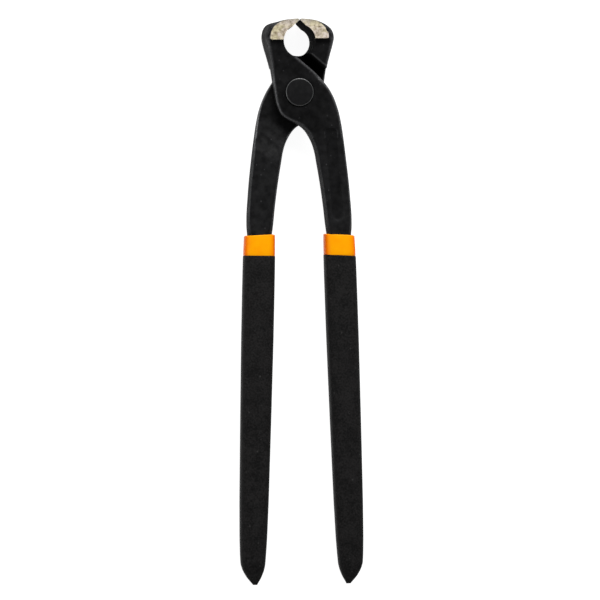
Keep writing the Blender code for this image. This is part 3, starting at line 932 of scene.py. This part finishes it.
# %% Finish of the rivet
ring_scale = 630
stain_size = 0.0016
rim_wear_start = 260
rim_wear_full = 560
rivet_black, tree, surface, place = new_finish("oiled_black_steel", "#0c0c0d", 0.55)
rings = add_node(
    tree, "ShaderNodeTexWave", {"Vector": place, "Scale": ring_scale, "Distortion": 0.6, "Detail": 1},
    output="Fac", wave_type="RINGS", rings_direction="Z",
)
stains = add_node(tree, "ShaderNodeTexNoise", {"Vector": place, "Scale": 1 / stain_size, "Detail": 4})
wear_and_highlight = add_node(tree, "ShaderNodeAttribute", output="Fac", attribute_name="edge_wear_and_highlight")
stained, rim_gloss, rim_polish = (
    add_node(tree, "ShaderNodeMapRange", zip(span_inputs, span))
    for span in ((stains, 0.4, 0.7), (wear_and_highlight, 0, 1, 0.12, 1), (wear_and_highlight, 0, 1, 0.62, 0.32))
)
oiled = linear("#060607")
# The mix towards #303031 on the broken edge is rubbed steel and partly a painted highlight.
for share, colour in ((stained, "#101011"), (wear_and_highlight, "#303031")):
    oiled = add_node(tree, "ShaderNodeMix", {0: share, 6: oiled, 7: linear(colour)}, data_type="RGBA")
ring_bump = add_node(tree, "ShaderNodeBump", {"Height": rings, "Distance": 0.000012, "Strength": 0.4})
stain_bump = add_node(
    tree, "ShaderNodeBump", {"Height": stains, "Distance": 0.00005, "Strength": 0.4, "Normal": ring_bump}
)
fill(surface, {
    "Base Color": oiled, "Specular IOR Level": rim_gloss, "Roughness": rim_polish, "Normal": stain_bump
})
turned_rivet = spin("turned_rivet", profile, rivet_black)
store_wear_and_highlight(turned_rivet.data, rim_wear_start, rim_wear_full)
shade(turned_rivet.data, 50)
print(turned_rivet.name, len(turned_rivet.data.polygons), "faces")

# %% [markdown]
# ## Dipped coats, made with Geometry Nodes
# A dipped coat follows a rule: at each place along the handle its section is a rounded rectangle
# of some width and depth. Such a section is a superellipse. Its points come from the cosine and
# sine of an angle, each raised to the power of two over the squareness.
#
# The tree takes a chain of stations, each with its place along the handle, its width, its depth,
# how much the liquid's edge moves there, and how far the coat leans to one side. It bends a grid
# round those sections: the rows of the grid are the stations, and its columns go round the
# handle. The edge waves a little and is tilted, because the handle was not quite upright in the
# liquid. The first and the last station are tiny, and merging by distance closes them to a
# point, so the coat is a closed skin.

# %% The tree for a coat
coat_tree = bpy.data.node_groups.new("dipped_coat", "GeometryNodeTree")
for name, kind in (
    ("Geometry", "NodeSocketGeometry"), ("Columns", "NodeSocketInt"), ("Squareness", "NodeSocketFloat"),
    ("Edge wave", "NodeSocketFloat"), ("Edge tilt", "NodeSocketFloat"), ("Seed", "NodeSocketFloat"),
    ("Splay", "NodeSocketFloat"), ("Top", "NodeSocketVector"), ("Weld", "NodeSocketFloat"),
    ("Material", "NodeSocketMaterial"),
):
    coat_tree.interface.new_socket(name, in_out="INPUT", socket_type=kind)
coat_tree.interface.new_socket("Geometry", in_out="OUTPUT", socket_type="NodeSocketGeometry")
given = coat_tree.nodes.new("NodeGroupInput").outputs
station_count = add_node(coat_tree, "GeometryNodeAttributeDomainSize", {0: given["Geometry"]})
row_length = add_node(coat_tree, "ShaderNodeMath", {0: given["Columns"], 1: 1}, operation="ADD")
grid = add_node(coat_tree, "GeometryNodeMeshGrid", {"Vertices X": station_count, "Vertices Y": row_length})
index = add_node(coat_tree, "GeometryNodeInputIndex")
column = add_node(coat_tree, "ShaderNodeMath", {0: index, 1: row_length}, operation="MODULO")
row_start = add_node(coat_tree, "ShaderNodeMath", {0: index, 1: column}, operation="SUBTRACT")
row = add_node(coat_tree, "ShaderNodeMath", {0: row_start, 1: row_length}, operation="DIVIDE")
round_handle = add_node(coat_tree, "ShaderNodeMath", {0: column, 1: given["Columns"]}, operation="DIVIDE")
angle = add_node(coat_tree, "ShaderNodeMath", {0: round_handle, 1: 2 * pi}, operation="MULTIPLY")
print("inputs of the coat's tree:", [socket.name for socket in given if socket.name])

# %% Sections from the stations
station_values = ("along", "width", "depth", "wave", "lean")
sampled = {}
for name in station_values:
    value = add_node(coat_tree, "GeometryNodeInputNamedAttribute", {"Name": name}, data_type="FLOAT")
    sampled[name] = add_node(
        coat_tree, "GeometryNodeSampleIndex", {"Geometry": given["Geometry"], "Value": value, "Index": row},
        data_type="FLOAT", domain="POINT",
    )
power = add_node(coat_tree, "ShaderNodeMath", {0: 2, 1: given["Squareness"]}, operation="DIVIDE")
swings = []
halves = []
for turn, size in (("COSINE", sampled["width"]), ("SINE", sampled["depth"])):
    swing = add_node(coat_tree, "ShaderNodeMath", {0: angle}, operation=turn)
    sign = add_node(coat_tree, "ShaderNodeMath", {0: swing}, operation="SIGN")
    reach = add_node(coat_tree, "ShaderNodeMath", {0: swing}, operation="ABSOLUTE")
    for operation, factor in (("POWER", power), ("MULTIPLY", sign), ("MULTIPLY", size), ("MULTIPLY", 0.5)):
        reach = add_node(coat_tree, "ShaderNodeMath", {0: reach, 1: factor}, operation=operation)
    swings.append(swing)
    halves.append(reach)
across = add_node(coat_tree, "ShaderNodeMath", {0: halves[0], 1: sampled["lean"]}, operation="SUBTRACT")
print("the section reads", sorted(sampled))

# %% The liquid's edge
ring_place = add_node(coat_tree, "ShaderNodeCombineXYZ", {"X": swings[0], "Y": swings[1], "Z": given["Seed"]})
ripple = add_node(
    coat_tree, "ShaderNodeTexNoise", {"Vector": ring_place, "Scale": 1.1, "Detail": 1, "Roughness": 0.4}
)
tilted = add_node(coat_tree, "ShaderNodeMath", {0: across, 1: given["Edge tilt"]}, operation="MULTIPLY")
edge = ripple
for operation, inputs in (
    ("SUBTRACT", {1: 0.5}), ("MULTIPLY", {1: given["Edge wave"]}), ("ADD", {1: tilted}),
    ("MULTIPLY_ADD", {1: sampled["wave"], 2: sampled["along"]}), ("MULTIPLY", {1: -1}),
):
    edge = add_node(coat_tree, "ShaderNodeMath", {0: edge, **inputs}, operation=operation)
placed = add_node(coat_tree, "ShaderNodeCombineXYZ", {"X": across, "Y": edge, "Z": halves[1]})
print("links in the coat's tree so far:", len(coat_tree.links))

# %% Finish of the tree
turn = add_node(coat_tree, "ShaderNodeCombineXYZ", {"Z": given["Splay"]})
coat = grid
for kind, inputs in (
    ("GeometryNodeSetPosition", {"Position": placed}),
    ("GeometryNodeMergeByDistance", {"Distance": given["Weld"]}),
    ("GeometryNodeTransform", {"Translation": given["Top"], "Rotation": turn}),
    ("GeometryNodeSetShadeSmooth", {}),
    ("GeometryNodeRealizeInstances", {}),
    ("GeometryNodeSetMaterial", {"Material": given["Material"]}),
    ("NodeGroupOutput", {}),
):
    coat = add_node(coat_tree, kind, {0: coat, **inputs})
print("nodes in the coat's tree:", len(coat_tree.nodes))

# %% [markdown]
# The modifier's inputs are set by identifier, before the object is first evaluated. How far the
# surface turns away to the side is stored as an attribute too, for painted shade on the side walls.

# %% Use the tree
def make_coat(name, stations, settings):
    """A coat from (along, width, depth, wave, lean) stations. Its modifier is applied and gone."""
    chain = bpy.data.meshes.new(name)
    chain.from_pydata([(0, -station[0], 0) for station in stations], [], [])
    for key, values in zip(station_values, zip(*stations)):
        store(chain, key, values)
    obj = link(name, chain)
    modifier = obj.modifiers.new("coat", "NODES")
    modifier.node_group = coat_tree
    inputs = {item.name: item.identifier for item in coat_tree.interface.items_tree if item.in_out == "INPUT"}
    for key, value in settings.items():
        modifier[inputs[key]] = value
    mesh = evaluated(obj)
    shape = bmesh.new()
    shape.from_mesh(mesh)
    bmesh.ops.recalc_face_normals(shape, faces=shape.faces)
    shape.to_mesh(mesh)
    shape.free()
    # This attribute drives the painted shade on the orange coat's side walls.
    store(mesh, "side_wall_shade", [min(1, abs(vert.normal.x) * 1.3) ** 1.5 for vert in mesh.vertices])
    return link(name, mesh)


def lip(start, width, depth, radius, steps=5):
    """Stations of a rounded edge of liquid plastic, from its inside to its full size."""
    turns = [pi / 2 * step / steps for step in range(steps + 1)]
    insets = [(radius * (1 - cos(turn)), 2 * radius * (1 - sin(turn))) for turn in turns]
    return [(start + down, width - inset, depth - inset, 1, 0) for down, inset in insets]


print("stations in a lip:", len(lip(0, grip_width, grip_depth, coat_gap)))

# %% [markdown]
# ## Stations of the two coats
# Each coat is a closed skin with a real wall, like a long thimble. Its stations run up the
# inside from the closed end, over the lip at the open end, and down the outside. The orange
# coat is thick where it shows and thin below, and the black coat starts over its lower edge.

# %% Stations of the orange coat
def around_tang(along, wall, wave=0):
    share = tang_share(along)
    return (along, arm_width * share + 2 * wall, arm_depth * share + 2 * wall, wave, 0)


speck = 0.00002
hair = 0.0001
orange_lip = 0.0005
under_grip = 0.0012
tang_entry = 0.002
band_width = arm_width + 2 * (coat_gap + band_wall)
band_depth = arm_depth + 2 * (coat_gap + band_wall)
bottom = tang_length + coat_gap
sleeve_bottom = bottom + sleeve_end_wall
orange_stations = [(bottom, speck, speck, 0, 0), around_tang(bottom, coat_gap)]
orange_stations += [around_tang(tang_entry, coat_gap / 2), around_tang(0, coat_gap / 3, 1)]
orange_stations += lip(0, band_width - hair, band_depth - hair, orange_lip)
for share, swell in ((0.25, 0), (0.5, hair), (0.75, 2 * hair), (0.95, 2 * hair)):
    orange_stations.append((band_length * share, band_width + swell, band_depth + swell, 1 - share, 0))
orange_stations.append((band_length + under_grip, band_width, band_depth, 0, 0))
orange_stations.append(around_tang(band_length + 1.3 * under_grip, coat_gap + sleeve_wall))
orange_stations += [around_tang(sleeve_bottom, coat_gap + sleeve_wall), (sleeve_bottom, speck, speck, 0, 0)]
print("orange coat:", len(orange_stations), "stations, band", round(1000 * band_width, 1), "mm wide")

# %% Stations of the black coat
grip_shares = (
    (0.0, 0.975), (0.02, 0.985), (0.10, 0.997), (0.18, 1.0), (0.30, 0.996), (0.53, 0.956), (0.76, 0.902),
    (0.87, 0.848), (0.92, 0.797), (0.943, 0.757), (0.960, 0.65), (0.978, 0.46), (0.992, 0.25), (1.0, 0.11),
)


def grip_share(along, softness=0.0006):
    at, wide = zip(*grip_shares)
    return numpy.mean([numpy.interp((along + softness * off) / grip_length, at, wide) for off in (-1, 0, 1)])


def tip_lean(along):
    start = grip_length - grip_end_wall + coat_gap
    return grip_tip_lean * (max(along - start, 0) / (grip_length - start)) ** 2


def on_grip(along, wave=0.0):
    share = grip_share(along)
    return (along, (grip_width - speck) * share, grip_depth * share, wave, tip_lean(along))


grip_top = band_length + coat_gap / 2
black_lip = 0.00025
wave_fades_over = 0.01
blunt_width, blunt_depth = 0.0008, 0.0006
inner_bottom = sleeve_bottom + coat_gap
clearance = 2 * coat_gap + sleeve_wall
black_stations = [(inner_bottom, speck, speck, 0, 0), around_tang(inner_bottom, clearance)]
black_stations += [around_tang(tang_length, clearance), around_tang(grip_top + 2 * under_grip, clearance)]
black_stations.append((grip_top + 1.2 * under_grip, band_width + hair, band_depth + hair, 0, 0))
black_stations += lip(grip_top, *on_grip(grip_top)[1:3], black_lip)
grip_places = [*numpy.linspace(grip_top + 10 * hair, 0.93 * grip_length, 48)]
grip_places += [*numpy.linspace(0.935 * grip_length, grip_length - hair, 22)]
for along in grip_places:
    black_stations.append(on_grip(along, max(0, 1 - (along - grip_top) / wave_fades_over)))
black_stations.append((grip_length - speck, blunt_width, blunt_depth, 0, grip_tip_lean))
black_stations.append((grip_length - speck, speck, speck, 0, grip_tip_lean))
print("black coat:", len(black_stations), "stations")

# %% [markdown]
# ## Orange and black plastic
# The handles are dipped in plastisol, a liquid PVC. The orange one cures smooth, with an almost
# flat strong colour and a slight sag in its skin that its soft sheen follows. Painted shade deepens
# the orange on the side walls. The black one is matte with a fine grain and a little pale dust
# caught in it.
# The real grain is about 0.3 mm, too fine to show, so it is drawn 0.8 mm coarse.

# %% Finish of the orange coat
sag_size = 0.004
glossy_orange, tree, surface, place = new_finish("glossy_orange_plastisol", "#ffa600", 0.38, specular=0.05)
sag = add_node(tree, "ShaderNodeTexNoise", {"Vector": place, "Scale": 1 / sag_size, "Detail": 2})
cloud = add_node(tree, "ShaderNodeMapRange", zip(span_inputs, (sag, 0.3, 0.7)))
painted_side_shade = add_node(tree, "ShaderNodeAttribute", output="Fac", attribute_name="side_wall_shade")
orange = linear("#ff9f00")
# The mix towards #ff7800 on the side walls is painted shade.
for share, colour in ((cloud, "#ffab00"), (painted_side_shade, "#ff7800")):
    orange = add_node(tree, "ShaderNodeMix", {0: share, 6: orange, 7: linear(colour)}, data_type="RGBA")
sag_bump = add_node(tree, "ShaderNodeBump", {"Height": sag, "Distance": 0.0002, "Strength": 0.4})
fill(surface, {"Base Color": orange, "Normal": sag_bump})
print("made", glossy_orange.name)

# %% Finish of the black coat
grip_grain = 0.0008
patch_size = 0.006
dust_spacing = 0.0035
matte_black, tree, surface, place = new_finish("matte_black_plastisol", "#101011", 0.72, specular=0.11)
grain = add_node(
    tree, "ShaderNodeTexNoise", {"Vector": place, "Scale": 1 / grip_grain, "Detail": 3, "Roughness": 0.6}
)
patches = add_node(tree, "ShaderNodeTexNoise", {"Vector": place, "Scale": 1 / patch_size, "Detail": 3})
mostly_grain = add_node(tree, "ShaderNodeMix", {0: 0.35, 2: grain, 3: patches}, data_type="FLOAT")
dust_place = add_node(tree, "ShaderNodeVectorMath", {0: place, 1: (1.0, 0.6, 1.0)}, operation="MULTIPLY")
dust = add_node(tree, "ShaderNodeTexVoronoi", {"Vector": dust_place, "Scale": 1 / dust_spacing})
grip_tone, grip_rough, specks, caught = (
    add_node(tree, "ShaderNodeMapRange", zip(span_inputs, span)) for span in (
        (mostly_grain, 0.4, 0.6), (patches, 0.3, 0.7, 0.66, 0.8),
        (dust, 0.05, 0.13, 0.35, 0), (grain, 0.45, 0.6),
    )
)
dusty = add_node(tree, "ShaderNodeMath", {0: specks, 1: caught}, operation="MULTIPLY")
plastic = linear("#080808")
for share, colour in ((grip_tone, "#1f1e1e"), (dusty, "#5a5a58")):
    plastic = add_node(tree, "ShaderNodeMix", {0: share, 6: plastic, 7: linear(colour)}, data_type="RGBA")
grip_bump = add_node(tree, "ShaderNodeBump", {"Height": grain, "Distance": 0.00016, "Strength": 0.8})
fill(surface, {"Base Color": plastic, "Roughness": grip_rough, "Normal": grip_bump})
print("made", matte_black.name)

# %% Dip both handles
coats = {}
for side, seed, orange_tilt, black_tilt in (("right", 2.0, 0.09, 0.09), ("left", 7.0, 0.085, 0.02)):
    for coat, stations, material, ripple_size, tilt in (
        ("orange_band", orange_stations, glossy_orange, 0.0009, orange_tilt),
        ("black_grip_dip", black_stations, matte_black, 0.0006, black_tilt),
    ):
        settings = {
            "Columns": 72, "Squareness": 4.0, "Edge wave": ripple_size, "Edge tilt": tilt, "Seed": seed,
            "Splay": handle_splay, "Top": handle_top, "Weld": 2 * speck, "Material": material,
        }
        piece = make_coat(side + "_" + coat, stations, settings)
        if side == "left":
            turn_over(piece.data)
        coats[piece.name] = piece
        print(piece.name, len(piece.data.polygons), "faces")

# %% [markdown]
# ## Pieces and bodies
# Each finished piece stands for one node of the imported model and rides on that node's body, so
# it moves with the joint. The rivet is fast in the rear lever.

# %% Ride and replace
for piece, node, body, slot in (
    (front_forging, "front_lever", "front_half", "forged_black"),
    (rear_forging, "rear_lever", "rear_half", "forged_black"),
    (turned_rivet, "pivot_rivet", "rear_half", "rivet_black"),
    (coats["right_orange_band"], "right_orange_sleeve", "front_half", "orange_dip"),
    (coats["left_orange_band"], "left_orange_sleeve", "rear_half", "orange_dip"),
    (coats["right_black_grip_dip"], "right_black_grip", "front_half", "black_dip"),
    (coats["left_black_grip_dip"], "left_black_grip", "rear_half", "black_dip"),
):
    low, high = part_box(node)
    points = numpy.array([vert.co for vert in piece.data.vertices])
    apart = 1000 * numpy.abs(numpy.concatenate((points.min(0) - low, points.max(0) - high))).max()
    print(piece.name, "differs from its node's box by", round(float(apart), 2), "mm")
    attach(piece, body)
    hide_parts(node)

# %% [markdown]
# ## Floor and backdrop
# The tool lies on a pale table. A photographer's cove is a floor that curves up into a wall, so
# no horizon shows. The photograph's ground is pure white. The cove is therefore brightened for
# rays that come from the camera or from a reflection, while it lights the tool as plain pale
# paint, and it keeps a faint shadow of the tool.

# %% Build the cove
cove_glow = 0.94
cove_shadow = (0.3, 0.3, 0.3, 1)
cove_white, tree, surface, _ = new_finish("pale_cove_paint", "#f2f2f2", 0.9, specular=0.2)
rays = tree.nodes.new("ShaderNodeLightPath").outputs
seen = rays["Is Camera Ray"]
for ray in ("Is Glossy Ray", "Is Transmission Ray"):
    seen = add_node(tree, "ShaderNodeMath", {0: seen, 1: rays[ray]}, operation="MAXIMUM")
shadowed = add_node(tree, "ShaderNodeBsdfDiffuse", {"Color": cove_shadow})
glow = add_node(tree, "ShaderNodeEmission", {"Color": (1, 1, 1, 1), "Strength": cove_glow})
bright = add_node(tree, "ShaderNodeAddShader", {0: shadowed, 1: glow})
cove_surface = add_node(tree, "ShaderNodeMixShader", {0: seen, 1: surface.outputs[0], 2: bright})
fill(tree.nodes["Material Output"], {"Surface": cove_surface})
floor_height = cad_low.z - 0.00001
floor_radius = 3.0
bend_radius = 1.0
wall_height = 1.6
bend_steps = 12
profile = [(0, floor_height), (floor_radius, floor_height)]
for step in range(1, bend_steps + 1):
    turn = pi / 2 * step / bend_steps
    profile.append((floor_radius + bend_radius * sin(turn), floor_height + bend_radius * (1 - cos(turn))))
profile.append((floor_radius + bend_radius, floor_height + wall_height))
cove = spin("cove", profile, cove_white, 96)
cove.data.flip_normals()
cove.data.shade_smooth()
cove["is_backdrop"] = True
print("floor at z =", round(1000 * floor_height, 2), "mm")

# %% [markdown]
# ## Light
# One large soft box stands above the jaws, a little to the right. Its light falls along the
# tool, so it draws the upper edges of the joint and fills the ground facets. A smaller and much
# weaker one at the left lights the wall of the left jaw and the left edges. With the pale world
# they add up to a plain level, at which a colour such as the orange renders about as written.

# %% Lamps and world
def soft_box(name, place, aim, size, power):
    lamp = bpy.data.lights.new(name, "AREA")
    lamp.shape = "SQUARE"
    lamp.size = size
    lamp.energy = power
    obj = link(name, lamp)
    obj.location = place
    obj.rotation_euler = (Vector(aim) - Vector(place)).to_track_quat("-Z", "Y").to_euler()


tool_centre = (0, -0.08, 0)
room_light = 0.20
soft_box("box_above_jaws", (0.16, 0.74, 0.70), tool_centre, 0.7, 13.3)
soft_box("box_left", (-0.70, -0.1, 0.75), tool_centre, 0.4, 2.0)
world = bpy.data.worlds.new("pale_room")
world.use_nodes = True
fill(world.node_tree.nodes["Background"], {"Color": (1, 1, 1, 1), "Strength": room_light})
bpy.context.scene.world = world
bpy.context.scene.view_settings.view_transform = "Standard"
print("lamps:", len(bpy.data.lights))

# %% [markdown]
# ## Camera
# The photograph looks almost straight down on the tool, from 6.4 degrees to its left, so the
# left wall of the left jaw just shows. The distance comes from how much smaller the far edges
# look than the near ones. The lens then follows from the tool's size in the picture.

# %% Camera
picture_width = 600
millimetres_per_pixel = 0.4398
camera_distance = 1.4
view_yaw = radians(6.4)
view_roll = radians(0.44)
sensor_width = 36
camera_target = Vector((-0.00098, -0.0917, 0.0168))
camera_data = bpy.data.cameras.new("camera")
camera_data.sensor_width = sensor_width
camera_data.lens = sensor_width * camera_distance / (0.001 * millimetres_per_pixel * picture_width)
camera = link("camera", camera_data)
turned = Matrix.Rotation(-view_yaw, 4, "Y") @ Matrix.Rotation(-view_roll, 4, "Z")
camera.matrix_world = Matrix.Translation(camera_target) @ turned @ Matrix.Translation((0, 0, camera_distance))
bpy.context.scene.camera = camera
print("lens:", round(camera_data.lens, 1), "mm")

# %% [markdown]
# ## Sizes and the end
# The dressed tool's size is printed, as the imported model's was at the start, so that the
# two can be compared. The dressed tool has to stay inside the imported model's box.

# %% Write the boxes and finish
low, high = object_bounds()
print("visual size in mm:", [round(1000 * side, 2) for side in high - low])
